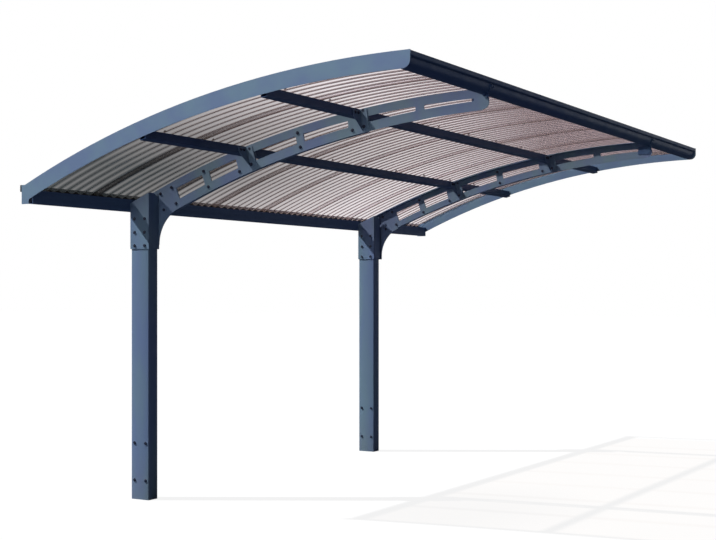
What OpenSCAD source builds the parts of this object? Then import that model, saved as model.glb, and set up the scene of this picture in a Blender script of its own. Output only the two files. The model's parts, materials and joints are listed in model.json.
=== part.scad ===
// Cantilever carport: a curved corrugated roof carried by two slotted arms on two posts.
// X runs along the roof, -Y is the open side, Z is up, ground level is z = 0.

/* [Roof] */
// Overall length over the two end fascias
roof_length = 5000; // [4000:50:6000]
// Overall depth from the open front edge to the rear edge
roof_depth = 2568; // [2200:10:3000]
// Radius of the roof curve, at the top edge of the fascias
roof_radius = 6120; // [5000:20:8000]
// Height of the front edge above ground
front_height = 2500; // [2350:10:3000]
// Roof edge behind the centre of the posts
rear_overhang = 160; // [150:1:190]

/* [Posts] */
// Distance between the two posts, centre to centre
post_gap = 2900; // [2000:10:3400]
// Near end of the roof to the centre of the near post
near_overhang = 920; // [500:10:1200]
// Post section along the roof
post_width = 90; // [70:1:120]
// Post section across the roof
post_depth = 140; // [110:1:150]
// Wall of the post tube
post_wall = 3; // [2:0.5:6]
// Distance from the top of the post tube to the top of the head behind it
post_drop = 40; // [10:5:120]

/* [Feet] */
// Height of the stub that the post slides over
stub_height = 420; // [300:10:600]
// Wall of the stub
stub_wall = 4; // [3:0.5:6]
// Thickness of the base plate inside the post
base_thickness = 10; // [6:1:16]
// Anchor hole diameter
anchor_hole = 14; // [10:1:18]
// Anchor hole spacing along the roof
anchor_gap_x = 40; // [30:1:50]
// Anchor hole spacing across the roof
anchor_gap_y = 84; // [60:1:90]

/* [Heads] */
// Height of the head's front face
head_height = 357; // [310:1:450]
// Sheet thickness of the head
head_wall = 5; // [3:0.5:8]
// Gap between the top of the head and the roof sheets
head_gap = 24; // [5:1:40]
// Width of the slanted corner at the top of the head's front face
head_chamfer = 50; // [10:1:60]
// Height of this slanted corner
head_slant = 31; // [5:1:40]

/* [Arms] */
// Thickness of the slotted arm plate and of its flanges
arm_plate = 5; // [3:0.5:8]
// Width of the arm with its flanges
arm_width = 35; // [25:1:50]
// Depth of the arm where it leaves the head
arm_root = 179; // [160:1:190]
// Depth of the arm at its tip
arm_tip = 115; // [100:1:140]
// Radius of the hollow curve under the arm
gusset_radius = 240; // [200:5:320]
// Distance from the arm's rounded end to the roof's front edge
tip_gap = 22; // [16:1:40]
// Thickness of the channel bolted inside the arm
channel_wall = 3; // [2:0.5:5]
// Distance from the end of a channel's lower edge to the hollow curve
flange_stop = 15; // [5:5:60]
// Height of the channel's lower edge above the arm's underside
flange_lift = 1; // [0.5:0.5:5]
// Solid arm above the slots
slot_above = 50; // [40:1:58]
// Solid arm below the slots
slot_below = 54; // [40:1:58]
// Solid bridge between two slots of one bay
slot_bridge = 55; // [45:1:90]
// Solid bridge between the two slots nearest the head
root_bridge = 55; // [50:1:140]
// Solid arm on each side of a purlin
slot_margin = 70; // [60:1:90]
// Solid arm between the head and the first slot
slot_start_gap = 132; // [120:1:180]
// Solid arm between the last slot and the rounded end
slot_end_gap = 93; // [70:1:120]
// Corner radius of the slots
slot_corner = 6; // [3:1:9]

/* [Purlins] */
// Distance from the gutter to the rear purlin, along the curve
rear_bay_length = 860; // [700:10:950]
// Distance between the two purlins, along the curve
purlin_gap = 830; // [700:10:900]
// Purlin width
purlin_width = 40; // [30:1:50]
// Purlin height
purlin_height = 50; // [40:1:60]
// Wall of the purlin tube
purlin_wall = 2.5; // [2:0.5:4]
// Reach of a bracket along its purlin
bracket_reach = 87; // [60:1:120]
// Width of the bracket leg on the arm
bracket_leg = 48; // [40:1:50]
// Height of a bracket
bracket_height = 116; // [90:1:120]
// Distance from the top of a purlin to the top of its brackets
bracket_drop = 10; // [9:1:14]
// Thickness of a bracket
bracket_wall = 4; // [3:0.5:6]

/* [Gutter] */
// Width of the gutter trough at its top
gutter_width = 85; // [70:1:100]
// Width of the gutter at its bottom
gutter_base = 30; // [20:1:60]
// Depth of the gutter below the roof's rear edge
gutter_depth = 112; // [100:1:130]
// Wall of the gutter profile
gutter_wall = 3; // [2:0.5:5]
// Height of the groove along the gutter's face above its bottom
groove_rise = 34; // [15:1:60]
// Width of this groove
groove_width = 4; // [2:1:8]
// Height of the rolled lip on the gutter's outer edge
lip_height = 40; // [25:1:50]
// Thickness of the rolled lip
lip_width = 12; // [10:1:20]
// Height of the lip above the end of the fascias' curve
lip_rise = 12; // [0:1:20]
// Width of the seat that the sheets rest on
seat_width = 30; // [20:1:40]

/* [Front rail] */
// Height of the front rail
rail_height = 90; // [75:1:110]
// Depth of the front rail
rail_depth = 58; // [45:1:70]
// Wall of the front rail
rail_wall = 3; // [2:0.5:5]
// Height of the bead along the rail's top edge
bead_height = 27; // [18:1:34]
// How far the bead stands in front of the rail's face
bead_reach = 14; // [8:1:20]
// How far the straps round the rail stand out on each side of an arm
strap_side = 12; // [5:1:25]
// Thickness of these straps
strap_wall = 4; // [3:0.5:6]
// Height of the strap's tab on the arm, below the rail
tab_height = 56; // [30:1:64]
// Length of this tab behind the rail
tab_reach = 70; // [40:1:100]

/* [Fascias] */
// Height of the curved fascia bands
fascia_height = 90; // [80:1:110]
// Thickness of a fascia band
fascia_wall = 4; // [3:0.5:6]
// Width of the flange along the top of a fascia
fascia_flange = 12; // [8:1:40]
// Radius under the front end of a fascia
front_round = 42; // [20:1:60]
// Width of the square rear end
end_width = 56; // [20:1:80]

/* [Sheets] */
// Width of one corrugation
wave_pitch = 76; // [60:1:100]
// Depth of the corrugation
wave_depth = 18; // [12:1:22]
// Thickness of a roof sheet
sheet_wall = 1; // [0.8:0.1:2]
// Corrugations in the near sheet before its first joint
first_waves = 5; // [4:1:8]
// Least distance from the sheets to the roof's ends
sheet_margin = 144; // [100:1:180]
// Depth of the sheets' underside below the top edge of the fascias
sheet_drop = 54; // [40:1:62]
// Share of a corrugation that rises, from 0 to 1
wave_rise = 0.2; // [0.15:0.01:0.25]
// Overhang of the sheets into the gutter
sheet_drip = 5; // [0:1:15]

/* [Hidden] */

metal = "#5b6b80";
dark = "#2a3446";
clear_sheet = "#8f8784";
// Clearance between a curved sheet and the flat member under it
seat_gap = 0.3;
// Margin that lets a cutting shape pass through what it cuts
cut = 1;
// Facets of the large roof curves
$fn = 48;
roof_fn = 1440;

// Step from the roof's front edge down to the top of the front rail
rail_drop = 3;
// Distance from the front rail's inner face to the sheets
sheet_clear = 6;
// Slant at the lower front corner of the strap's tab, across and up
tab_slant = [18, 28];
// Number of sheets
sheet_rows = 8;

near_end = -near_overhang;
far_end = roof_length - near_overhang;
rear_y = rear_overhang;
front_y = rear_overhang - roof_depth;
arc_z = front_height - roof_radius;
gutter_y = rear_y - gutter_width;
rail_face = front_y + bead_reach;
rail_back = front_y + rail_depth;
rail_top = front_height - rail_drop;
rail_bottom = front_height - rail_height;
// Radius of the sheets' underside, and of the tops of purlins and arms below them
sheet_r = roof_radius - sheet_drop;
carry_r = sheet_r - seat_gap;

// Height of a roof curve of radius r above ground, at a place y
function curve_z(r, y) = arc_z + sqrt(r * r - (y - front_y) * (y - front_y));
// Angle of a place y on a roof curve, from the vertical
function curve_angle(r, y) = asin((y - front_y) / r);

// An outline drawn across the roof, as (y, z), carried along X from x0
module along(x0, length) {
    translate([x0, 0, 0]) rotate([90, 0, 90]) linear_extrude(length) children();
}

// A profile drawn as (radius, x), carried round the roof curve between two angles
module around(from_angle, to_angle) {
    translate([0, front_y, arc_z]) rotate([180, -90, 0]) rotate([0, 0, -to_angle])
        rotate_extrude(angle = to_angle - from_angle, $fn = roof_fn) children();
}

// The roof curve as a disc of radius r, in the outlines drawn across the roof
module roof_disc(r) {
    translate([front_y, arc_z]) circle(r, $fn = roof_fn);
}

// Values shared by the posts, heads and arms
head_half = post_width / 2 + head_wall;
head_front = -post_depth / 2 - head_wall;
head_r = carry_r - head_gap;
head_top = curve_z(head_r, head_front);
head_bottom = head_top - head_height;
post_height = curve_z(head_r, post_depth / 2) - post_drop;

// ---- posts and feet ----

module post(x) {
    color(metal) translate([x, 0, 0]) difference() {
        translate([-post_width / 2, -post_depth / 2, 0]) cube([post_width, post_depth, post_height]);
        translate([-post_width / 2 + post_wall, -post_depth / 2 + post_wall, -cut])
            cube([post_width - 2 * post_wall, post_depth - 2 * post_wall, post_height + 2 * cut]);
    }
}

module foot_anchor(x) {
    wide = post_width - 2 * post_wall - 2 * seat_gap;
    deep = post_depth - 2 * post_wall - 2 * seat_gap;
    color(dark) translate([x, 0, 0]) difference() {
        translate([-wide / 2, -deep / 2, 0]) cube([wide, deep, stub_height]);
        translate([-wide / 2 + stub_wall, -deep / 2 + stub_wall, base_thickness])
            cube([wide - 2 * stub_wall, deep - 2 * stub_wall, stub_height]);
        for (i = [-1, 1], j = [-1, 1])
            translate([i * anchor_gap_x / 2, j * anchor_gap_y / 2, -cut])
                cylinder(d = anchor_hole, h = base_thickness + 2 * cut);
    }
}

// ---- heads ----

// A folded cover round three sides of the post, cut along the roof curve at its top
module head(x) {
    color(metal) translate([x, 0, 0]) difference() {
        intersection() {
            translate([-head_half, head_front, head_bottom])
                cube([2 * head_half, gutter_y - head_front, front_height - head_bottom]);
            along(-head_half, 2 * head_half) roof_disc(head_r);
        }
        translate([-post_width / 2, -post_depth / 2, head_bottom - cut])
            cube([post_width, post_depth + gutter_width, front_height]);
        translate([0, head_front + head_wall / 2, 0]) rotate([90, 0, 0])
            linear_extrude(head_wall + 2 * cut, center = true)
                polygon([[head_half - head_chamfer, head_top], [head_half - head_chamfer, front_height],
                    [head_half + cut, front_height], [head_half + cut, head_top - head_slant]]);
    }
}

// ---- arms ----

arm_x = head_half;
channel_x = arm_x + arm_plate;
inside_x = channel_x + channel_wall;
tip_y = front_y + tip_gap;
// The lower curve of the arm is shifted forward, so that the arm tapers to its tip
root_angle = curve_angle(sheet_r, head_front);
taper_shift = (arm_root - arm_tip) / sin(root_angle);
arm_low_r = carry_r - arm_tip;
low_y = front_y - taper_shift;

// The space under the arm, bounded by its lower curve, which w moves into the arm
module under_arm(w) {
    translate([low_y, arc_z]) circle(arm_low_r + w, $fn = roof_fn);
}

// Distance from the roof's centre to a curve of the arm's lower family, at an angle
function low_edge(r, angle) = sqrt(r * r - pow(taper_shift * cos(angle), 2)) - taper_shift * sin(angle);

// Purlins stand at these angles of the roof curve
rear_angle = curve_angle(sheet_r, gutter_y);
per_mm = 180 / PI / sheet_r;
purlin_angles = [rear_angle - rear_bay_length * per_mm, rear_angle - (rear_bay_length + purlin_gap) * per_mm];

// The hollow curve of the gusset touches the front of the head and the underside of the arm
gusset_y = head_front - gusset_radius;
meet_angle = asin((gusset_y - low_y) / (arm_low_r - gusset_radius));
gusset_z = arc_z + (arm_low_r - gusset_radius) * cos(meet_angle);
meet_y = low_y + arm_low_r * sin(meet_angle);
meet_z = arc_z + arm_low_r * cos(meet_angle);

// Outline of the arm from the head to its tip
module arm_outline() {
    difference() {
        intersection() {
            roof_disc(carry_r);
            translate([tip_y, head_bottom]) square([gutter_y - tip_y, front_height - head_bottom]);
        }
        difference() {
            under_arm(0);
            translate([head_front, 0]) square([roof_depth, front_height]);
            gusset_corner();
        }
    }
}

// The piece that fills the corner between the head and the arm, with its hollow curve
module gusset_corner() {
    difference() {
        polygon([[head_front + cut, gusset_z], [head_front + cut, meet_z + gusset_radius],
            [meet_y, meet_z + gusset_radius], [meet_y, meet_z], [gusset_y, gusset_z]]);
        translate([gusset_y, gusset_z]) circle(gusset_radius, $fn = 360);
    }
}

// What is cut away at the tip: a seat for the rail, and round it the arm's rounded nose
module tip_cut() {
    low_z = curve_z(carry_r, tip_y) - arm_tip;
    seat_z = rail_bottom - strap_wall;
    nose_r = (seat_z - low_z) / 2;
    translate([tip_y - cut, seat_z]) square([rail_back + seat_gap - tip_y + cut, rail_height]);
    difference() {
        translate([tip_y - cut, low_z - nose_r]) square([nose_r + cut, seat_z - low_z + nose_r + cut]);
        translate([tip_y + nose_r, low_z + nose_r]) circle(nose_r, $fn = 90);
    }
}

slot_high_r = carry_r - slot_above;
slot_low_r = arm_low_r + slot_below;

// The band that the slots lie in, made smaller by a margin
module slot_band(margin) {
    difference() {
        roof_disc(slot_high_r - margin);
        under_arm(slot_below + margin);
    }
}

// The sector of the roof curve between two angles
module sector(a0, a1) {
    reach = 2 * roof_radius;
    translate([front_y, arc_z])
        polygon([[0, 0], [reach * sin(a0), reach * cos(a0)], [reach * sin(a1), reach * cos(a1)]]);
}

// One slot between two angles, with rounded corners
module slot(a0, a1) {
    turn = asin(slot_corner / (slot_high_r - slot_corner));
    intersection() {
        slot_band(0);
        sector(a0 + turn, a1 - turn);
    }
    intersection() {
        slot_band(slot_corner);
        sector(a0, a1);
    }
    for (a = [a0 + turn, a1 - turn], r = [slot_high_r - slot_corner, low_edge(slot_low_r + slot_corner, a)])
        translate([front_y + r * sin(a), arc_z + r * cos(a)]) circle(slot_corner);
}

// Two slots in a bay of the arm between two angles, with a solid bridge between them
module bay_slots(low, high, bridge) {
    middle = (low + high) / 2;
    slot(low, middle - bridge / 2 * per_mm);
    slot(middle + bridge / 2 * per_mm, high);
}

margin_angle = slot_margin * per_mm;
module rear_slots() {
    bay_slots(purlin_angles[0] + margin_angle, root_angle - slot_start_gap * per_mm, root_bridge);
    bay_slots(purlin_angles[1] + margin_angle, purlin_angles[0] - margin_angle, slot_bridge);
}

module front_slots() {
    bay_slots(curve_angle(sheet_r, tip_y + slot_end_gap), purlin_angles[1] - margin_angle, slot_bridge);
}

// Flange along the arm's top
module arm_flange() {
    difference() {
        intersection() {
            roof_disc(carry_r);
            translate([rail_back + seat_gap, head_bottom])
                square([gutter_y - rail_back - seat_gap, front_height - head_bottom]);
        }
        roof_disc(carry_r - arm_plate);
    }
}

// A plate with its flange on its far side
module arm() {
    color(metal) {
        along(arm_x, arm_plate) difference() {
            arm_outline();
            rear_slots();
            front_slots();
            tip_cut();
        }
        along(arm_x + arm_plate, arm_width - arm_plate) arm_flange();
    }
}

// The channel runs inside the arm from the head to just past the front purlin
module channel_limit() {
    channel_end = front_y + sheet_r * sin(purlin_angles[1] - margin_angle);
    translate([channel_end, head_bottom])
        square([head_front - channel_end, front_height - head_bottom]);
}

module arm_channel() {
    color(metal) {
        along(channel_x, channel_wall) difference() {
            intersection() {
                arm_outline();
                channel_limit();
                roof_disc(carry_r - arm_plate);
            }
            rear_slots();
        }
        along(inside_x, arm_x + arm_width - inside_x) {
            intersection() {
                channel_limit();
                difference() {
                    roof_disc(carry_r - arm_plate);
                    roof_disc(carry_r - arm_plate - channel_wall);
                }
            }
            intersection() {
                channel_limit();
                difference() {
                    under_arm(flange_lift + channel_wall);
                    under_arm(flange_lift);
                    translate([meet_y - flange_stop, 0]) square([roof_depth, front_height]);
                }
            }
        }
    }
}

// The near arm opens towards the far end, and the far arm, which is its mirror image, towards the near end
module at_far_arm() {
    translate([post_gap + 2 * arm_x + arm_width, 0, 0]) mirror([1, 0, 0]) children();
}

// ---- purlins ----

// The section of a purlin, standing square to the roof curve at one of the purlin angles
module at_purlin(i) {
    translate([front_y, arc_z]) rotate(-purlin_angles[i]) translate([0, carry_r]) children();
}

module purlin_section(i) {
    at_purlin(i) difference() {
        translate([-purlin_width / 2, -purlin_height]) square([purlin_width, purlin_height]);
        translate([-purlin_width / 2 + purlin_wall, -purlin_height + purlin_wall])
            square([purlin_width - 2 * purlin_wall, purlin_height - 2 * purlin_wall]);
    }
}

// A purlin is cut where it meets each arm, and notched under the arms' top flanges
module purlin(i) {
    far_arm_x = post_gap + arm_x + arm_width;
    between_arms = far_arm_x - arm_plate - channel_wall - inside_x;
    notch = arm_x + arm_width - inside_x;
    color(dark) {
        along(near_end + fascia_wall, arm_x - near_end - fascia_wall) purlin_section(i);
        along(far_arm_x, far_end - fascia_wall - far_arm_x) purlin_section(i);
        difference() {
            along(inside_x, between_arms) purlin_section(i);
            for (x = [inside_x - cut, inside_x + between_arms - notch])
                along(x, notch + cut) at_purlin(i) translate([-purlin_width, -arm_plate - channel_wall])
                    square([2 * purlin_width, arm_plate + channel_wall + cut]);
        }
    }
}

// Angle bracket: one leg on the purlin's front face, with a slanted lower edge, and one on the arm's face
module purlin_bracket(i) {
    low = -bracket_drop - bracket_height;
    color(dark) translate([0, front_y, arc_z]) rotate([-purlin_angles[i], 0, 0])
        translate([0, -purlin_width / 2, carry_r]) {
            rotate([90, 0, 0]) linear_extrude(bracket_wall)
                polygon([[-bracket_reach, -purlin_height], [-bracket_wall, low], [0, low],
                    [0, -bracket_drop], [-bracket_reach, -bracket_drop]]);
            translate([-bracket_wall, -bracket_leg, low])
                cube([bracket_wall, bracket_leg - bracket_wall, bracket_height]);
        }
}

module purlin_brackets() {
    for (i = [0, 1]) {
        translate([arm_x, 0, 0]) purlin_bracket(i);
        translate([inside_x, 0, 0]) mirror([1, 0, 0]) purlin_bracket(i);
    }
}

// ---- gutter ----

gutter_top = curve_z(roof_radius, rear_y) + lip_rise;
gutter_bottom = gutter_top - gutter_depth;
between_fascias = roof_length - 2 * fascia_wall;

// The trough's outside, made smaller by a margin: upright in front, slanted below at the back
module trough(margin) {
    lean = (gutter_width - gutter_base) / (gutter_depth - lip_height);
    slack = margin * sqrt(1 + lean * lean);
    rise = (gutter_width - gutter_base - margin + slack) / lean;
    foot = gutter_y + gutter_base - slack + margin * lean;
    polygon([[gutter_y + margin, gutter_top], [gutter_y + margin, gutter_bottom + margin],
        [foot, gutter_bottom + margin], [rear_y - margin, gutter_bottom + rise],
        [rear_y - margin, gutter_top]]);
}

// A trough with a seat for the sheets along its inner edge and a rolled lip along its outer edge
module gutter_section() {
    difference() {
        trough(0);
        difference() {
            trough(gutter_wall);
            translate([gutter_y, gutter_top - cut]) square([gutter_width, cut]);
        }
        translate([gutter_y + gutter_wall, gutter_top - 2 * cut])
            square([gutter_width - 2 * gutter_wall, 3 * cut]);
        difference() {
            translate([gutter_y - cut, gutter_bottom]) square([gutter_wall + 2 * cut, gutter_depth + cut]);
            roof_disc(carry_r);
        }
        translate([gutter_y - cut, gutter_bottom + groove_rise])
            square([cut + gutter_wall / 2, groove_width]);
    }
    intersection() {
        translate([gutter_y, gutter_bottom]) square([seat_width, gutter_depth]);
        difference() {
            roof_disc(carry_r);
            roof_disc(carry_r - gutter_wall);
        }
    }
    translate([rear_y, gutter_top - lip_height]) lip_section();
}

// Rounded on its outer side only
module lip_section() {
    lip_r = lip_width / 2;
    square([lip_r, lip_height]);
    translate([0, lip_r]) square([lip_width, lip_height - lip_width]);
    for (z = [lip_r, lip_height - lip_r]) translate([lip_r, z]) circle(lip_r);
}

module rear_gutter() {
    color(dark) along(near_end + fascia_wall, between_fascias) gutter_section();
}

// ---- front rail ----

rail_turn = rail_back - rail_face;
turn_z = rail_bottom + rail_turn;

// The space inside the rail's outer face, made smaller by a margin: straight above, a quarter round below
module rail_shape(margin) {
    translate([rail_face + margin, turn_z]) square([rail_turn - margin, rail_top - turn_z - margin]);
    intersection() {
        translate([rail_back, turn_z]) circle(rail_turn - margin, $fn = 90);
        translate([rail_face, rail_bottom]) square([rail_turn, rail_turn + cut]);
    }
}

// Open towards the sheets, with a seat inside for their front edges and a bead along its top edge
module rail_section() {
    seat_z = curve_z(carry_r, rail_back);
    difference() {
        rail_shape(0);
        difference() {
            rail_shape(rail_wall);
            translate([rail_face, seat_z - rail_wall]) square([rail_turn + cut, rail_wall]);
        }
    }
    translate([front_y, rail_top - bead_height]) difference() {
        bead_shape(0);
        bead_shape(rail_wall);
    }
}

// Bead with a rounded lower front edge
module bead_shape(margin) {
    low = bead_reach / 2;
    translate([low, margin]) square([low + rail_wall - margin, bead_height - 2 * margin]);
    translate([margin, low]) square([bead_reach - margin, bead_height - low - margin]);
    translate([low, low]) circle(low - margin);
}

module front_rail() {
    color(dark) along(near_end + fascia_wall, between_fascias) rail_section();
}

// The round of the rail's lower edge, made larger by a margin
module rail_round(margin) {
    translate([rail_back, turn_z]) circle(rail_turn + margin, $fn = 90);
}

// The space round the rail's lower edge that a strap fills, before the rail is cut out of it
module strap_outline() {
    translate([rail_face - strap_wall, turn_z]) square([strap_wall, rail_top - bead_height - turn_z]);
    intersection() {
        rail_round(strap_wall);
        translate([rail_face - strap_wall, rail_bottom - strap_wall])
            square([rail_turn + strap_wall, rail_turn + strap_wall]);
    }
}

// The round of the rail's lower edge, made larger by a margin
module rail_round(margin) {
    translate([rail_back, turn_z]) circle(rail_turn + margin, $fn = 90);
}

// Strap round the rail's lower edge, with a tab on the arm's inner face
module rail_strap() {
    tab_front = tip_y + strap_wall;
    tab_back = rail_back + tab_reach;
    tab_low = rail_bottom - tab_height;
    color(dark) {
        along(channel_x, strap_wall) difference() {
            union() {
                strap_outline();
                polygon([[tab_back, rail_bottom], [tab_front, rail_bottom + strap_wall],
                    [tab_front, tab_low + tab_slant[1]], [tab_front + tab_slant[0], tab_low],
                    [tab_back, tab_low]]);
            }
            rail_round(0);
        }
        along(arm_x - strap_side, arm_plate + strap_side) difference() {
            strap_outline();
            rail_round(0);
        }
        along(channel_x + strap_wall, arm_width + strap_side - arm_plate - strap_wall) difference() {
            strap_outline();
            rail_round(0);
        }
    }
}

// ---- fascias ----

// The band's outline: curved above and below, rounded under its front end, and square at the rear,
// where it closes the gutter's end
module fascia_outline() {
    low_front = curve_z(roof_radius - fascia_height, front_y);
    difference() {
        intersection() {
            roof_disc(roof_radius);
            translate([front_y, gutter_bottom]) square([roof_depth, front_height]);
        }
        intersection() {
            roof_disc(roof_radius - fascia_height);
            translate([front_y - cut, 0]) square([roof_depth + cut, front_height]);
        }
        translate([front_y - cut, low_front - cut]) difference() {
            square([front_round + cut, front_round + cut]);
            translate([front_round + cut, front_round + cut]) circle(front_round);
        }
    }
    translate([rear_y - end_width, gutter_bottom]) square([end_width, gutter_depth]);
}

// A curved band with a narrow flange along its top. It is drawn for the near end
module fascia() {
    color(metal) {
        along(0, fascia_wall) fascia_outline();
        along(0, fascia_flange) intersection() {
            difference() {
                roof_disc(roof_radius);
                roof_disc(roof_radius - fascia_wall);
            }
            translate([rail_back, gutter_bottom]) square([rear_y - end_width - rail_back, front_height]);
        }
    }
}

// ---- roof sheets ----

total_waves = floor((roof_length - 2 * sheet_margin) / wave_pitch);
sheets_x = near_end + (roof_length - total_waves * wave_pitch) / 2;
sheet_waves = floor((total_waves - first_waves) / (sheet_rows - 1));
sheet_front = bead_reach + rail_wall + sheet_clear;
sheet_rear = gutter_width - seat_width - sheet_drip;
front_angle = curve_angle(sheet_r, front_y + sheet_front);
low_angle = curve_angle(sheet_r, rear_y - sheet_rear);

// Where, in one corrugation, the slopes begin and end
turns = [0.25 - wave_rise / 2, 0.25 + wave_rise / 2, 0.75 - wave_rise / 2, 0.75 + wave_rise / 2];

// Height of the corrugation, from 0 to 1, at u waves along: level, fall, level, rise
function wave(u) = let (f = u - floor(u))
    1 - max(0, min(1, (f - turns[0]) / wave_rise, (turns[3] - f) / wave_rise));

// Places, in waves, where the corrugation bends between two ends
function bends(from, to) = concat([from],
    [for (k = [floor(from) : ceil(to)], f = turns) if (k + f > from && k + f < to) k + f], [to]);

// Sheets 1, 3, 5 and 7 lie under the laps, the others over them
module roof_sheet(n) {
    from = n == 1 ? 0 : first_waves + (n - 2) * sheet_waves;
    to = n == sheet_rows ? total_waves : first_waves + (n - 1) * sheet_waves + 1;
    low = sheet_r + (n % 2 == 0 ? sheet_wall : 0);
    places = bends(from, to);
    last = len(places) - 1;
    color(clear_sheet, 0.6) around(front_angle, low_angle) polygon(concat(
        [for (u = places) [low + wave(u) * wave_depth, sheets_x + u * wave_pitch]],
        [for (i = [last : -1 : 0]) [low + sheet_wall + wave(places[i]) * wave_depth,
            sheets_x + places[i] * wave_pitch]]));
}

post(0);  // post_near
post(post_gap);  // post_far
foot_anchor(0);  // foot_anchor_near
foot_anchor(post_gap);  // foot_anchor_far
head(0);  // head_near
head(post_gap);  // head_far
arm();  // arm_near
at_far_arm() arm();  // arm_far
arm_channel();  // arm_channel_near
at_far_arm() arm_channel();  // arm_channel_far
purlin(0);  // purlin_rear
purlin(1);  // purlin_front
purlin_brackets();  // purlin_brackets_near
at_far_arm() purlin_brackets();  // purlin_brackets_far
rear_gutter();
front_rail();
rail_strap();  // rail_strap_near
at_far_arm() rail_strap();  // rail_strap_far
translate([near_end, 0, 0]) fascia();  // fascia_near
translate([far_end, 0, 0]) mirror([1, 0, 0]) fascia();  // fascia_far
roof_sheet(1);  // roof_sheet_1
roof_sheet(2);  // roof_sheet_2
roof_sheet(3);  // roof_sheet_3
roof_sheet(4);  // roof_sheet_4
roof_sheet(5);  // roof_sheet_5
roof_sheet(6);  // roof_sheet_6
roof_sheet(7);  // roof_sheet_7
roof_sheet(8);  // roof_sheet_8
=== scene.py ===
import json
import math

import bmesh
import bpy
from mathutils import Matrix, Vector


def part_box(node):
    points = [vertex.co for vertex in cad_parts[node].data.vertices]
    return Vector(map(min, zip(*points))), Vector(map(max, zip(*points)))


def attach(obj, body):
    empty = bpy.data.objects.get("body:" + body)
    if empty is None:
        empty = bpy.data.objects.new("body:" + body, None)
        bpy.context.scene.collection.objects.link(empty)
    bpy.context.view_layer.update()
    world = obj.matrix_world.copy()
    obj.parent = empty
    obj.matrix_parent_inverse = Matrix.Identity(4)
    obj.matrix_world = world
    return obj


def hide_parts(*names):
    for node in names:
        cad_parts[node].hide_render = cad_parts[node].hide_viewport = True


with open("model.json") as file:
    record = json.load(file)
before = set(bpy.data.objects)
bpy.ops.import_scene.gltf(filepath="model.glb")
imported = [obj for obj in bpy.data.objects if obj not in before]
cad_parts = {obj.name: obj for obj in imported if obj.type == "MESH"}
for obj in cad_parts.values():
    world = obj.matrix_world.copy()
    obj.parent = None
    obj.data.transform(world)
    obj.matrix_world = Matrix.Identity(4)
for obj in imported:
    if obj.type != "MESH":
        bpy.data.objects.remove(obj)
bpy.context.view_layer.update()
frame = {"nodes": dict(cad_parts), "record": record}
nodes = frame["nodes"]

# The roof's circle and the sheets' wave, as in the solids
roof = {"radius": 6.12, "sheetDrop": 0.054, "seatGap": 0.0003, "pitch": 0.076, "depth": 0.018, "wall": 0.001}
fasciaLow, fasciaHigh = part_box("fascia_near")
frontY = fasciaLow[1]
roofCentre = Vector((0, frontY, fasciaHigh[2] - roof["radius"]))
sheetRadius = roof["radius"] - roof["sheetDrop"]
carryRadius = sheetRadius - roof["seatGap"]


# Angles on the roof are zero at its front edge and grow towards the rear
def roofAngle(radius, y):
    return math.asin((y - frontY) / radius)


def onRoof(x, radius, angle):
    return Vector((x, frontY + radius * math.sin(angle), roofCentre.z + radius * math.cos(angle)))


def middleOf(nodeName):
    low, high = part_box(nodeName)
    return (Vector(low) + Vector(high)) / 2


def angleOf(place):
    return math.atan2(place.y - frontY, place.z - roofCentre.z)


# Shades a mesh smooth, but for the edges where its faces meet at more than so many degrees
def smoothUnder(bm, degrees):
    for face in bm.faces:
        face.smooth = True
    for edge in bm.edges:
        edge.smooth = edge.is_manifold and edge.calc_face_angle(0) < math.radians(degrees)


# Turns a finished bmesh into a piece of the carport, which is all one body
def newPiece(bm, name, material, smoothBelow=30, replacing=()):
    bmesh.ops.recalc_face_normals(bm, faces=bm.faces)
    smoothUnder(bm, smoothBelow)
    mesh = bpy.data.meshes.new(name)
    bm.to_mesh(mesh)
    bm.free()
    piece = bpy.data.objects.new(name, mesh)
    bpy.context.scene.collection.objects.link(piece)
    mesh.materials.append(material)
    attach(piece, "root")
    if replacing:
        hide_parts(*replacing)
    return piece


# A mesh without an object, to be copied into a piece many times by addShape
def newTemplate(bm):
    mesh = bpy.data.meshes.new("template")
    bm.to_mesh(mesh)
    bm.free()
    return mesh


def addShape(bm, template, matrix):
    before = len(bm.verts)
    bm.from_mesh(template)
    bm.verts.ensure_lookup_table()
    bmesh.ops.transform(bm, matrix=matrix, verts=bm.verts[before:])


# Stands a shape drawn along +Z at place, pointing along axis
def facing(place, axis):
    turn = Vector((0, 0, 1)).rotation_difference(Vector(axis)).to_matrix().to_4x4()
    return Matrix.Translation(place) @ turn


def roundEdges(bm, edges, radius, segments):
    bmesh.ops.bevel(bm, geom=edges, offset=radius, offset_type="OFFSET", segments=segments, profile=0.5,
                    affect="EDGES", material=-1)


# A material works in linear light, and its colours are written as they look on a screen
def linear(hexColour):
    parts = [int(hexColour[i:i + 2], 16) / 255 for i in (1, 3, 5)]
    return tuple(c / 12.92 if c <= 0.04045 else ((c + 0.055) / 1.055) ** 2.4 for c in parts) + (1.0,)


# Adds a node with its settings and its sockets' values or links. Stops are a colour ramp's places and colours
def addNode(tree, kind, settings=None, sockets=None, stops=()):
    node = tree.nodes.new(kind)
    for key, value in (settings or {}).items():
        setattr(node, key, value)
    for key, value in (sockets or {}).items():
        if isinstance(value, bpy.types.NodeSocket):
            tree.links.new(value, node.inputs[key])
        else:
            node.inputs[key].default_value = value
    if stops:
        elements = node.color_ramp.elements
        while len(elements) < len(stops):
            elements.new(0.5)
        for element, (place, hexColour) in zip(elements, stops):
            element.position = place
            element.color = linear(hexColour)
    return node


def newMaterial(name):
    material = bpy.data.materials.new(name)
    material.use_nodes = True
    tree = material.node_tree
    tree.nodes.clear()
    return material, tree, addNode(tree, "ShaderNodeTexCoord").outputs["Object"]


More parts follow.
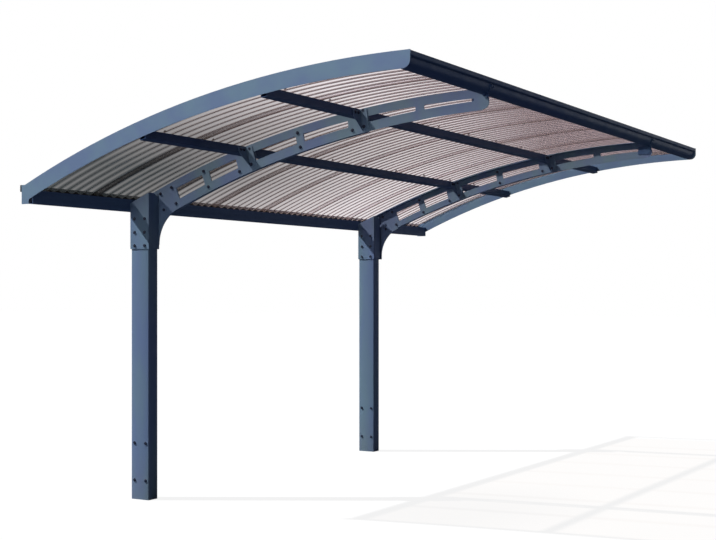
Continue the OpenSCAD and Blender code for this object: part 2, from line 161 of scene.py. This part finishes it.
# Paint on metal: slow drift between two tones, fine orange peel, and dust that has settled low down
def coatedMetal(name, settings):
    material, tree, place = newMaterial(name)
    stretched = addNode(tree, "ShaderNodeMapping", None, {"Vector": place, "Scale": settings["stretch"]})
    drift = addNode(tree, "ShaderNodeTexNoise", None,
                    {"Vector": stretched.outputs["Vector"], "Scale": settings["driftScale"], "Detail": 3.0})
    tone = addNode(tree, "ShaderNodeValToRGB", None, {"Fac": drift.outputs["Fac"]},
                   list(zip((0.35, 0.65), settings["tones"])))
    # Orange peel is about 2 mm across in life. It is drawn at 9 mm so that it isn't lost between samples
    peel = addNode(tree, "ShaderNodeTexNoise", None, {"Vector": place, "Scale": 110.0, "Detail": 1.0})
    bump = addNode(tree, "ShaderNodeBump", None,
                   {"Height": peel.outputs["Fac"], "Strength": settings["peel"], "Distance": 0.0006})
    height = addNode(tree, "ShaderNodeSeparateXYZ", None, {"Vector": place}).outputs["Z"]
    patches = addNode(tree, "ShaderNodeTexNoise", None, {"Vector": place, "Scale": 14.0, "Detail": 5.0})
    low = addNode(tree, "ShaderNodeMapRange", None,
                  {"Value": height, "From Min": 0.32, "From Max": 0.0, "To Min": 0.0, "To Max": 0.45})
    dust = addNode(tree, "ShaderNodeMath", {"operation": "MULTIPLY"},
                   {0: low.outputs["Result"], 1: patches.outputs["Fac"]})
    colour = addNode(tree, "ShaderNodeMixRGB", None,
                     {"Fac": dust.outputs["Value"], "Color1": tone.outputs["Color"],
                      "Color2": linear("#6f6f6a")})
    rough = addNode(tree, "ShaderNodeMapRange", None,
                    {"Value": patches.outputs["Fac"], "From Min": 0.3, "From Max": 0.7,
                     "To Min": settings["rough"][0], "To Max": settings["rough"][1]})
    shader = addNode(tree, "ShaderNodeBsdfPrincipled", None,
                     {"Base Color": colour.outputs["Color"], "Roughness": rough.outputs["Result"],
                      "Specular IOR Level": settings["shine"], "Normal": bump.outputs["Normal"]})
    addNode(tree, "ShaderNodeOutputMaterial", None, {"Surface": shader.outputs["BSDF"]})
    return material


# Powder coat baked on steel: satin, with a soft sheen that hides the fold lines
steelPaint = coatedMetal("powderCoatedSteel", {
    "tones": ("#637598", "#688091"), "stretch": (3.0, 3.0, 0.6), "driftScale": 2.2, "peel": 0.25,
    "rough": (0.42, 0.56), "shine": 0.05})

# Coating on extruded aluminium: smoother than the steel, so its edges draw longer, thinner highlights
railPaint = coatedMetal("powderCoatedAluminium", {
    "tones": ("#6b7e9d", "#70889d"), "stretch": (0.5, 3.0, 3.0), "driftScale": 2.0, "peel": 0.12,
    "rough": (0.36, 0.48), "shine": 0.05})

# The same coating painted darker, as painted shade, on the rail, its straps and the purlins, which sit in
# shade
shadedCopyPaint = coatedMetal("shadedPowderCoat", {
    "tones": ("#3a4f76", "#415877"), "stretch": (0.5, 3.0, 3.0), "driftScale": 2.0, "peel": 0.12,
    "rough": (0.4, 0.52), "shine": 0.05})

# The gutter's coat lies between the two tones: the same coating with painted shade, for a gutter that sits in
# shade
partShadedGutterPaint = coatedMetal("partShadedGutterCoat", {
    "tones": ("#52678c", "#586e8f"), "stretch": (0.5, 3.0, 3.0), "driftScale": 2.0, "peel": 0.12,
    "rough": (0.4, 0.52), "shine": 0.05})


# Hot-dip zinc: grey spangle patches 10 to 20 mm across that catch the light one by one
def galvanised():
    material, tree, place = newMaterial("hotDippedZinc")
    spangle = addNode(tree, "ShaderNodeTexVoronoi", None, {"Vector": place, "Scale": 70.0})
    tone = addNode(tree, "ShaderNodeValToRGB", None, {"Fac": spangle.outputs["Color"]},
                   [(0.0, "#8b9093"), (1.0, "#b9bdbf")])
    rough = addNode(tree, "ShaderNodeMapRange", None,
                    {"Value": spangle.outputs["Distance"], "From Max": 0.8, "To Min": 0.35, "To Max": 0.55})
    shader = addNode(tree, "ShaderNodeBsdfPrincipled", None,
                     {"Base Color": tone.outputs["Color"], "Metallic": 1.0,
                      "Roughness": rough.outputs["Result"]})
    addNode(tree, "ShaderNodeOutputMaterial", None, {"Surface": shader.outputs["BSDF"]})
    return material


zinc = galvanised()


def darkPart(name, settings):
    material, tree, place = newMaterial(name)
    grain = addNode(tree, "ShaderNodeTexNoise", None,
                    {"Vector": place, "Scale": settings["grain"], "Detail": 4.0})
    tone = addNode(tree, "ShaderNodeValToRGB", None, {"Fac": grain.outputs["Fac"]},
                   list(zip((0.3, 0.7), settings["tones"])))
    rough = addNode(tree, "ShaderNodeMapRange", None,
                    {"Value": grain.outputs["Fac"], "To Min": settings["rough"][0],
                     "To Max": settings["rough"][1]})
    shader = addNode(tree, "ShaderNodeBsdfPrincipled", None,
                     {"Base Color": tone.outputs["Color"], "Roughness": rough.outputs["Result"],
                      "Specular IOR Level": 0.4})
    addNode(tree, "ShaderNodeOutputMaterial", None, {"Surface": shader.outputs["BSDF"]})
    return material


# Blackened bolts: nearly black with a blue cast, and a tight highlight on each flat
boltBlack = darkPart("blackenedSteelBolts", {
    "tones": ("#0c1830", "#16243f"), "rough": (0.35, 0.5), "grain": 60.0})
# Extruded rubber: matt black, so the gaps under the sheets stay dark
rubber = darkPart("blackRubberSeal", {
    "tones": ("#0c0d10", "#15171b"), "rough": (0.75, 0.9), "grain": 90.0})


# Lays a gloss over a clear body. Only the outer faces reflect, so that light isn't trapped between the two
# faces of a sheet
def addGloss(tree, body, settings):
    gloss = addNode(tree, "ShaderNodeBsdfGlossy", None,
                    {"Color": linear(settings["gloss"]), "Roughness": settings["rough"]})
    glance = addNode(tree, "ShaderNodeFresnel", None, {"IOR": settings["ior"]})
    inside = addNode(tree, "ShaderNodeNewGeometry").outputs["Backfacing"]
    outer = addNode(tree, "ShaderNodeMath", {"operation": "SUBTRACT", "use_clamp": True},
                    {0: glance.outputs["Fac"], 1: inside})
    shader = addNode(tree, "ShaderNodeMixShader", None,
                     {"Fac": outer.outputs["Value"], 1: body.outputs[0], 2: gloss.outputs[0]})
    addNode(tree, "ShaderNodeOutputMaterial", None, {"Surface": shader.outputs["Shader"]})


# Thin tinted plastic, extruded: light comes through brown, a slope seen square on is clearer than one seen
# along its surface, and glancing surfaces turn pale and mirror-like. The low near corner is painted dull as
# shade
bronze = {"clean": [(0.40, "#f8f6f8"), (0.56, "#ded8db"), (0.76, "#afa9ad")],
          "shadedTints": [(0.28, "#cac8c8"), (0.36, "#9a9d9e"), (0.76, "#848688")],
          "cornerX": (2.4, -0.2), "cornerY": (-1.7, -0.3), "cleanSun": "#f7f0ea", "shadedSun": "#dbd4ce",
          "film": (0.06, 0.2), "filmTones": ("#a88f86", "#474c4b"),
          "gloss": "#fbf0ee", "rough": 0.1, "ior": 1.55}


def bronzeSheet():
    material, tree, place = newMaterial("tintedPolycarbonate")
    axes = addNode(tree, "ShaderNodeSeparateXYZ", None, {"Vector": place})
    alongX = addNode(tree, "ShaderNodeMapRange", None,
                     {"Value": axes.outputs["X"], "From Min": bronze["cornerX"][0],
                      "From Max": bronze["cornerX"][1]})
    alongY = addNode(tree, "ShaderNodeMapRange", None,
                     {"Value": axes.outputs["Y"], "From Min": bronze["cornerY"][0],
                      "From Max": bronze["cornerY"][1]})
    corner = addNode(tree, "ShaderNodeMath", {"operation": "MULTIPLY"},
                     {0: alongX.outputs["Result"], 1: alongY.outputs["Result"]}).outputs["Value"]
    angle = addNode(tree, "ShaderNodeLayerWeight", None, {"Blend": 0.5}).outputs["Facing"]
    clean = addNode(tree, "ShaderNodeValToRGB", None, {"Fac": angle}, bronze["clean"])
    # Painted shade: the low near corner takes this darker ramp
    shadedTints = addNode(tree, "ShaderNodeValToRGB", None, {"Fac": angle}, bronze["shadedTints"])
    tint = addNode(tree, "ShaderNodeMixRGB", None,
                   {"Fac": corner, "Color1": clean.outputs["Color"], "Color2": shadedTints.outputs["Color"]})
    # Sunlight that has come through is brown, and weaker under the low near corner: painted shade on what
    # lies beneath
    isShadow = addNode(tree, "ShaderNodeLightPath").outputs["Is Shadow Ray"]
    dullest = addNode(tree, "ShaderNodeMapRange", None, {"Value": corner, "From Min": 0.6, "From Max": 1.0})
    sunlit = addNode(tree, "ShaderNodeMixRGB", None,
                     {"Fac": dullest.outputs["Result"], "Color1": linear(bronze["cleanSun"]),
                      "Color2": linear(bronze["shadedSun"])})
    passed = addNode(tree, "ShaderNodeMixRGB", None,
                     {"Fac": isShadow, "Color1": tint.outputs["Color"], "Color2": sunlit.outputs["Color"]})
    through = addNode(tree, "ShaderNodeBsdfTransparent", None, {"Color": passed.outputs["Color"]})
    # An uneven film of dust, thicker and darker towards the low near corner, where its darkening is painted
    # shade. The tint of shadow rays already holds what the film takes from the sun
    film = addNode(tree, "ShaderNodeMapRange", None,
                   {"Value": corner, "To Min": bronze["film"][0], "To Max": bronze["film"][1]})
    grime = addNode(tree, "ShaderNodeTexNoise", None, {"Vector": place, "Scale": 3.0, "Detail": 6.0})
    uneven = addNode(tree, "ShaderNodeMapRange", None,
                     {"Value": grime.outputs["Fac"], "From Min": 0.3, "From Max": 0.7, "To Min": 0.85,
                      "To Max": 1.15})
    share = addNode(tree, "ShaderNodeMath", {"operation": "MULTIPLY"},
                    {0: film.outputs["Result"], 1: uneven.outputs["Result"]})
    shown = addNode(tree, "ShaderNodeMath", {"operation": "SUBTRACT", "use_clamp": True},
                    {0: share.outputs["Value"], 1: isShadow})
    # Towards the low near corner the film's tone turns dark: painted shade
    pale, shadedFilmTone = map(linear, bronze["filmTones"])
    dustAndShade = addNode(tree, "ShaderNodeMixRGB", None, {"Fac": corner, "Color1": pale, "Color2": shadedFilmTone})
    haze = addNode(tree, "ShaderNodeBsdfTranslucent", None, {"Color": dustAndShade.outputs["Color"]})
    body = addNode(tree, "ShaderNodeMixShader", None,
                   {"Fac": shown.outputs["Value"], 1: through.outputs[0], 2: haze.outputs[0]})
    addGloss(tree, body, bronze)
    return material


sheetPlastic = bronzeSheet()

# Clear plastic strip: almost nothing of it shows but a pale sheen and its edges
clear = {"tints": [(0.3, "#f9f9f9"), (0.7, "#fdfdfd")], "gloss": "#ffffff", "rough": 0.08, "ior": 1.4}


def clearStrip():
    material, tree, place = newMaterial("clearPolycarbonate")
    streaks = addNode(tree, "ShaderNodeTexNoise", None, {"Vector": place, "Scale": 8.0, "Detail": 4.0})
    tint = addNode(tree, "ShaderNodeValToRGB", None, {"Fac": streaks.outputs["Fac"]}, clear["tints"])
    body = addNode(tree, "ShaderNodeBsdfTransparent", None, {"Color": tint.outputs["Color"]})
    addGloss(tree, body, clear)
    return material


clearPlastic = clearStrip()

slotPaints = {"frame_paint": steelPaint, "rail_paint": railPaint, "sheet_plastic": sheetPlastic,
              "anchor_steel": zinc}
# Parts that sit in shade get the coating's darker copies, which are painted shade
nodePaints = {"front_rail": shadedCopyPaint, "purlin_rear": shadedCopyPaint, "purlin_front": shadedCopyPaint,
              "rail_strap_near": shadedCopyPaint, "rail_strap_far": shadedCopyPaint, "rear_gutter": partShadedGutterPaint}
slotNames = {part["node"]: part["material_slot"] for part in frame["record"]["subparts"]}
for nodeName, node in nodes.items():
    for materialSlot in node.material_slots:
        materialSlot.material = nodePaints.get(nodeName, slotPaints[slotNames[nodeName]])
print("materials done")

# Posts: the tube's corners are rolled, not sharp
post = {"outer": 0.005, "inner": 0.002, "segments": 3, "weld": 1e-5, "flat": math.radians(1), "onFace": 1e-4,
        "smooth": 40}
for end in ("near", "far"):
    node = nodes[f"post_{end}"]
    low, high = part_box(f"post_{end}")
    bm = bmesh.new()
    bm.from_mesh(node.data)
    bmesh.ops.transform(bm, matrix=node.matrix_world, verts=bm.verts[:])
    bmesh.ops.remove_doubles(bm, verts=bm.verts[:], dist=post["weld"])
    bmesh.ops.dissolve_limit(bm, angle_limit=post["flat"], verts=bm.verts[:], edges=bm.edges[:])
    upright = (high[2] - low[2]) / 2
    outer, inner = [], []
    for edge in bm.edges:
        first, second = (v.co for v in edge.verts)
        if abs(first.z - second.z) > upright:
            isOuter = min(abs(first.x - low[0]), abs(first.x - high[0])) < post["onFace"]
            (outer if isOuter else inner).append(edge)
    roundEdges(bm, outer, post["outer"], post["segments"])
    roundEdges(bm, inner, post["inner"], post["segments"])
    newPiece(bm, f"postTube{end.capitalize()}", steelPaint, post["smooth"], [f"post_{end}"])
print("posts done")

# Roof sheets. The first one runs on under the near fascia, so that no gap shows beside it. Their rear edges
# stop a hair short of the solids': rearStop is that angle in radians
sheet = {"count": 8, "perWave": 12, "steps": 30, "nearReach": 1.75, "rearStop": 0.0002, "smooth": 60}
sheetBoxes = [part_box(f"roof_sheet_{number}") for number in range(1, sheet["count"] + 1)]
firstX, lastX = sheetBoxes[0][0][0], sheetBoxes[-1][1][0]


def waveHeight(x):
    return roof["depth"] * (0.5 + 0.5 * math.cos(2 * math.pi * (x - firstX) / roof["pitch"]))


# A line of vertices along X that follows the corrugations
def addWave(bm, fromX, toX, radius, angle):
    count = round((toX - fromX) / roof["pitch"] * sheet["perWave"])
    line = []
    for i in range(count + 1):
        x = fromX + (toX - fromX) * i / count
        line.append(bm.verts.new(onRoof(x, radius + waveHeight(x), angle)))
    return [bm.edges.new(pair) for pair in zip(line, line[1:])]


# Carries a line at the rear of the roof forward along the curve
def sweepForward(bm, edges, rearAngle, frontAngle):
    bmesh.ops.spin(bm, geom=edges + bm.verts[:], cent=roofCentre, axis=(1, 0, 0),
                   angle=rearAngle - frontAngle, steps=sheet["steps"], use_duplicate=False)


def addWall(piece):
    wall = piece.modifiers.new("wall", "SOLIDIFY")
    wall.thickness = roof["wall"]
    wall.offset = 0


for number, (low, high) in enumerate(sheetBoxes, 1):
    radius = sheetRadius + (roof["wall"] if number % 2 == 0 else 0) + roof["wall"] / 2
    rearAngle = roofAngle(radius + roof["depth"], high[1]) - sheet["rearStop"]
    reach = sheet["nearReach"] * roof["pitch"] if number == 1 else 0
    bm = bmesh.new()
    edges = addWave(bm, low[0] - reach, high[0], radius, rearAngle)
    sweepForward(bm, edges, rearAngle, roofAngle(sheetRadius, low[1]))
    addWall(newPiece(bm, f"roofSheet{number}", sheetPlastic, sheet["smooth"],
                     [f"roof_sheet_{number}"]))

# Clear strip from the last crest to the far fascia, with a lip turned up against it
strip = {"lap": 0.030, "lip": 0.012, "rise": 0.0008, "bend": 0.003, "fasciaWall": 0.004}
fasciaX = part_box("fascia_far")[1][0] - strip["fasciaWall"]
radius = sheetRadius + roof["depth"] + 2 * roof["wall"] + strip["rise"]
rearAngle = roofAngle(radius, sheetBoxes[-1][1][1])
lipX = fasciaX - strip["bend"] / 2
bm = bmesh.new()
spots = [(lastX - strip["lap"], 0), (fasciaX - 2 * strip["bend"], 0), (lipX, strip["bend"]),
         (lipX, strip["lip"])]
line = [bm.verts.new(onRoof(x, radius + up, rearAngle)) for x, up in spots]
edges = [bm.edges.new(pair) for pair in zip(line, line[1:])]
sweepForward(bm, edges, rearAngle, roofAngle(sheetRadius, sheetBoxes[-1][0][1]))
addWall(newPiece(bm, "edgeStripFar", clearPlastic))
print("sheets done")

# Bolts: a flanged hex head on one face of a joint, and a nut with the bolt's end on the other
bolt = {"flange": 0.0105, "flangeHigh": 0.0018, "flangeSides": 20, "hex": 0.0085, "hexHigh": 0.0068,
        "edge": 0.0008, "shank": 0.004, "shankHigh": 0.0095, "shankSides": 12}
hexSides = 6
samePlane = 1e-6


def addRound(bm, radius, fromZ, toZ, segments, edge):
    made = bmesh.ops.create_cone(bm, cap_ends=True, segments=segments, radius1=radius, radius2=radius,
                                 depth=toZ - fromZ, matrix=Matrix.Translation((0, 0, (fromZ + toZ) / 2)))
    rim = [e for e in bm.edges if all(v in made["verts"] and v.co.z > toZ - samePlane for v in e.verts)]
    roundEdges(bm, rim, edge, 1)


def boltTemplate(isNut):
    bm = bmesh.new()
    addRound(bm, bolt["flange"], 0, bolt["flangeHigh"], bolt["flangeSides"], bolt["edge"] / 2)
    addRound(bm, bolt["hex"], bolt["flangeHigh"], bolt["hexHigh"], hexSides, bolt["edge"])
    if isNut:
        addRound(bm, bolt["shank"], bolt["hexHigh"], bolt["shankHigh"], bolt["shankSides"], bolt["edge"])
    return newTemplate(bm)


boltHead, boltNut = boltTemplate(False), boltTemplate(True)


# Bolts along X at places (y, z): a head on the face at headX, pointing along -X, and a nut at nutX
def addBolts(bm, places, headX, nutX=None):
    for y, z in places:
        addShape(bm, boltHead, facing((headX, y, z), (-1, 0, 0)))
        if nutX is not None:
            addShape(bm, boltNut, facing((nutX, y, z), (1, 0, 0)))


# Through each arm and its channel, in a row over the slots and one under them
arm = {"plate": 0.005, "channelWall": 0.003,
       "upper": [(-0.089, 1.950), (-0.178, 1.987), (-0.431, 2.078), (-0.783, 2.201), (-1.131, 2.276),
                 (-1.585, 2.378)],
       "lower": [(-0.117, 1.847), (-0.215, 1.884), (-0.469, 1.979), (-0.707, 2.064), (-1.152, 2.189),
                 (-1.513, 2.267)]}
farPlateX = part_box("arm_channel_far")[1][0]
armFaces = {"Near": (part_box("arm_near")[0][0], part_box("arm_channel_near")[0][0] + arm["channelWall"]),
            "Far": (farPlateX - arm["channelWall"], farPlateX + arm["plate"])}
for end, (headX, nutX) in armFaces.items():
    bm = bmesh.new()
    addBolts(bm, arm["upper"] + arm["lower"], headX, nutX)
    newPiece(bm, f"armBolts{end}", boltBlack)

# On both sides of the heads and of the posts' feet
pairs = {"headBolts": {"node": "head", "sides": 0.041, "heights": (1.617, 1.702, 1.788)},
         "footScrews": {"node": "post", "sides": 0.045, "heights": (0.123, 0.36)}}
for name, spots in pairs.items():
    for end in ("near", "far"):
        low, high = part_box(f"{spots['node']}_{end}")
        places = [(y, z) for y in (-spots["sides"], spots["sides"]) for z in spots["heights"]]
        bm = bmesh.new()
        addBolts(bm, places, low[0])
        for y, z in places:
            addShape(bm, boltHead, facing((high[0], y, z), (1, 0, 0)))
        newPiece(bm, f"{name}{end.capitalize()}", boltBlack)

# On the brackets: one bolt through the leg on the arm, and two into the front face of the purlin
bracket = {"legWall": 0.004, "legPlaces": [(-0.797, 2.104), (-1.593, 2.283)], "fromArm": (0.030, 0.062),
           "down": 0.025, "front": 0.024}
purlinMiddles = {"RearPurlin": middleOf("purlin_rear"), "FrontPurlin": middleOf("purlin_front")}
for end, (headX, nutX) in armFaces.items():
    bm = bmesh.new()
    addBolts(bm, bracket["legPlaces"], headX - bracket["legWall"], nutX + bracket["legWall"])
    for middle in purlinMiddles.values():
        angle = angleOf(middle)
        along = Vector((0, math.cos(angle), -math.sin(angle)))
        for x in [headX - d for d in bracket["fromArm"]] + [nutX + d for d in bracket["fromArm"]]:
            spot = onRoof(x, carryRadius - bracket["down"], angle) - along * bracket["front"]
            addShape(bm, boltHead, facing(spot, -along))
    newPiece(bm, f"bracketBolts{end}", boltBlack)

# On the straps that hold the rail
strap = {"fromSide": 0.016, "fromTop": 0.013}
for end in ("near", "far"):
    low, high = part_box(f"rail_strap_{end}")
    bm = bmesh.new()
    for x in (low[0] + strap["fromSide"], high[0] - strap["fromSide"]):
        addShape(bm, boltHead, facing((x, low[1], high[2] - strap["fromTop"]), (0, -1, 0)))
    newPiece(bm, f"strapBolts{end.capitalize()}", shadedCopyPaint)
print("bolts done")

# Screws through the crests into the beam, the purlins and the rail: a dished washer under a hex head
screw = {"every": 6, "washer": 0.0085, "washerHigh": 0.0022, "washerSides": 16, "washerEdge": 0.001,
         "hex": 0.0048, "hexHigh": 0.0072, "hexEdge": 0.0006, "beamY": 0.088, "railIn": 0.037,
         "slack": 0.001}
bm = bmesh.new()
addRound(bm, screw["washer"], 0, screw["washerHigh"], screw["washerSides"], screw["washerEdge"])
addRound(bm, screw["hex"], screw["washerHigh"], screw["hexHigh"], hexSides, screw["hexEdge"])
screwMesh = newTemplate(bm)
screwAngles = {"Beam": roofAngle(sheetRadius, screw["beamY"]),
               "Rail": roofAngle(sheetRadius, frontY + screw["railIn"])}
for label, middle in purlinMiddles.items():
    screwAngles[label] = angleOf(middle)
# Every second sheet lies on its neighbours, one wall higher, and its screws with it
upperSpans = [(low[0] - screw["slack"], high[0] + screw["slack"]) for low, high in sheetBoxes[1::2]]
crests = round((lastX - firstX) / roof["pitch"])
for label, angle in screwAngles.items():
    bm = bmesh.new()
    out = Vector((0, math.sin(angle), math.cos(angle)))
    for i in range(1, crests, screw["every"]):
        x = firstX + i * roof["pitch"]
        walls = 2 if any(fromX < x < toX for fromX, toX in upperSpans) else 1
        top = sheetRadius + roof["depth"] + roof["wall"] * walls
        addShape(bm, screwMesh, facing(onRoof(x, top, angle), out))
    newPiece(bm, f"sheetScrews{label}", boltBlack)
print("screws done")

# Eaves filler: a foam strip with the sheets' wave along its top, under their rear edges and in the rail
filler = {"spans": {"Rear": (0.077, 0.097), "Front": (frontY + 0.022, frontY + 0.048)}, "gap": 0.0002}
for label, span in filler["spans"].items():
    fromAngle, toAngle = (roofAngle(sheetRadius, y) for y in span)
    bm = bmesh.new()
    edges = addWave(bm, firstX, lastX, sheetRadius - filler["gap"], fromAngle)
    made = bmesh.ops.extrude_edge_only(bm, edges=edges)["geom"]
    for vert in [g for g in made if isinstance(g, bmesh.types.BMVert)]:
        vert.co = onRoof(vert.co.x, carryRadius - filler["gap"], fromAngle)
    bmesh.ops.spin(bm, geom=bm.faces[:] + bm.edges[:] + bm.verts[:], cent=roofCentre, axis=(1, 0, 0),
                   angle=fromAngle - toAngle, steps=1, use_duplicate=False)
    newPiece(bm, f"eavesFiller{label}", rubber)
print("fillers done")

# Moulded caps in the open ends of the gutter's rolled lip
cap = {"thick": 0.004, "wide": 0.012, "tall": 0.040, "edge": 0.0045, "segments": 4}
low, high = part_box("rear_gutter")
for end, x in (("Near", low[0] - cap["thick"] / 2), ("Far", high[0] + cap["thick"] / 2)):
    bm = bmesh.new()
    place = Matrix.Translation((x, high[1] - cap["wide"] / 2, high[2] - cap["tall"] / 2))
    size = Matrix.Diagonal((cap["thick"], cap["wide"], cap["tall"], 1))
    bmesh.ops.create_cube(bm, size=1, matrix=place @ size)
    lengthways = [e for e in bm.edges if abs(e.verts[0].co.x - e.verts[1].co.x) > cap["thick"] / 2]
    roundEdges(bm, lengthways, cap["edge"], cap["segments"])
    newPiece(bm, f"lipCap{end}", rubber)
print("caps done")

# The camera stands before the near post on the open side, at chest height
view = {"place": (-6.471, -5.3445, 1.3175), "along": (0.8644, 0.5028), "lens": 65.05, "sensor": 36,
        "shiftY": 0.0317}
camera = bpy.data.objects.new("camera", bpy.data.cameras.new("camera"))
bpy.context.scene.collection.objects.link(camera)
camera.location = view["place"]
level = math.radians(90)
camera.rotation_euler = (level, 0, math.atan2(view["along"][1], view["along"][0]) - level)
camera.data.lens = view["lens"]
camera.data.sensor_width = view["sensor"]
camera.data.shift_y = view["shiftY"]
bpy.context.scene.camera = camera

# The sun stands high behind the roof. A broad one, low on the near side, lights what the roof shades
suns = {"sun": {"towards": (0.5, -0.88, -1), "energy": 5.1, "degrees": 0.8},
        "side": {"towards": (1, 0.05, 0.13), "energy": 2.1, "degrees": 30}}
for name, settings in suns.items():
    light = bpy.data.objects.new(name, bpy.data.lights.new(name, "SUN"))
    bpy.context.scene.collection.objects.link(light)
    light.rotation_euler = Vector(settings["towards"]).to_track_quat("-Z", "Y").to_euler()
    light.data.energy = settings["energy"]
    light.data.angle = math.radians(settings["degrees"])

# White to the camera, in mirrors and through glass, and a dim blue sky to everything else
sky = {"blue": "#8fa0c8", "blueStrength": 0.12, "white": "#ffffff", "whiteStrength": 1.0}
world = bpy.data.worlds.new("studio")
bpy.context.scene.world = world
world.use_nodes = True
tree = world.node_tree
tree.nodes.clear()
path = addNode(tree, "ShaderNodeLightPath")
seen = addNode(tree, "ShaderNodeMath", {"operation": "MAXIMUM"},
               {0: path.outputs["Is Camera Ray"], 1: path.outputs["Is Glossy Ray"]})
seenThrough = addNode(tree, "ShaderNodeMath", {"operation": "MAXIMUM"},
                      {0: seen.outputs["Value"], 1: path.outputs["Is Transmission Ray"]})
blue = addNode(tree, "ShaderNodeBackground", None,
               {"Color": linear(sky["blue"]), "Strength": sky["blueStrength"]})
white = addNode(tree, "ShaderNodeBackground", None,
                {"Color": linear(sky["white"]), "Strength": sky["whiteStrength"]})
either = addNode(tree, "ShaderNodeMixShader", None,
                 {"Fac": seenThrough.outputs["Value"], 1: blue.outputs[0], 2: white.outputs[0]})
addNode(tree, "ShaderNodeOutputWorld", None, {"Surface": either.outputs[0]})

# Nearly white to the camera, so that only the shadow shows, and dull to other rays, so that it lights little
ground = {"half": 60, "tones": [(0.3, "#f8f8f8"), (0.7, "#ffffff")], "grain": 0.8, "dull": "#4a4f5a",
          "glow": "#ffffff", "litShare": 0.12}
bm = bmesh.new()
bmesh.ops.create_grid(bm, x_segments=1, y_segments=1, size=ground["half"])
floorMesh = bpy.data.meshes.new("floor")
bm.to_mesh(floorMesh)
bm.free()
floor = bpy.data.objects.new("floor", floorMesh)
bpy.context.scene.collection.objects.link(floor)
material, tree, place = newMaterial("paleFloor")
floorMesh.materials.append(material)
path = addNode(tree, "ShaderNodeLightPath")
grain = addNode(tree, "ShaderNodeTexNoise", None, {"Vector": place, "Scale": ground["grain"]})
pale = addNode(tree, "ShaderNodeValToRGB", None, {"Fac": grain.outputs["Fac"]}, ground["tones"])
lit = addNode(tree, "ShaderNodeBsdfDiffuse", None, {"Color": pale.outputs["Color"]})
dull = addNode(tree, "ShaderNodeBsdfDiffuse", None, {"Color": linear(ground["dull"])})
glow = addNode(tree, "ShaderNodeEmission", None, {"Color": linear(ground["glow"]), "Strength": 1.0})
shown = addNode(tree, "ShaderNodeMixShader", None,
                {"Fac": ground["litShare"], 1: glow.outputs[0], 2: lit.outputs[0]})
either = addNode(tree, "ShaderNodeMixShader", None,
                 {"Fac": path.outputs["Is Camera Ray"], 1: dull.outputs[0], 2: shown.outputs[0]})
addNode(tree, "ShaderNodeOutputMaterial", None, {"Surface": either.outputs[0]})
print("stage done")

bpy.context.scene.view_settings.view_transform = "Standard"
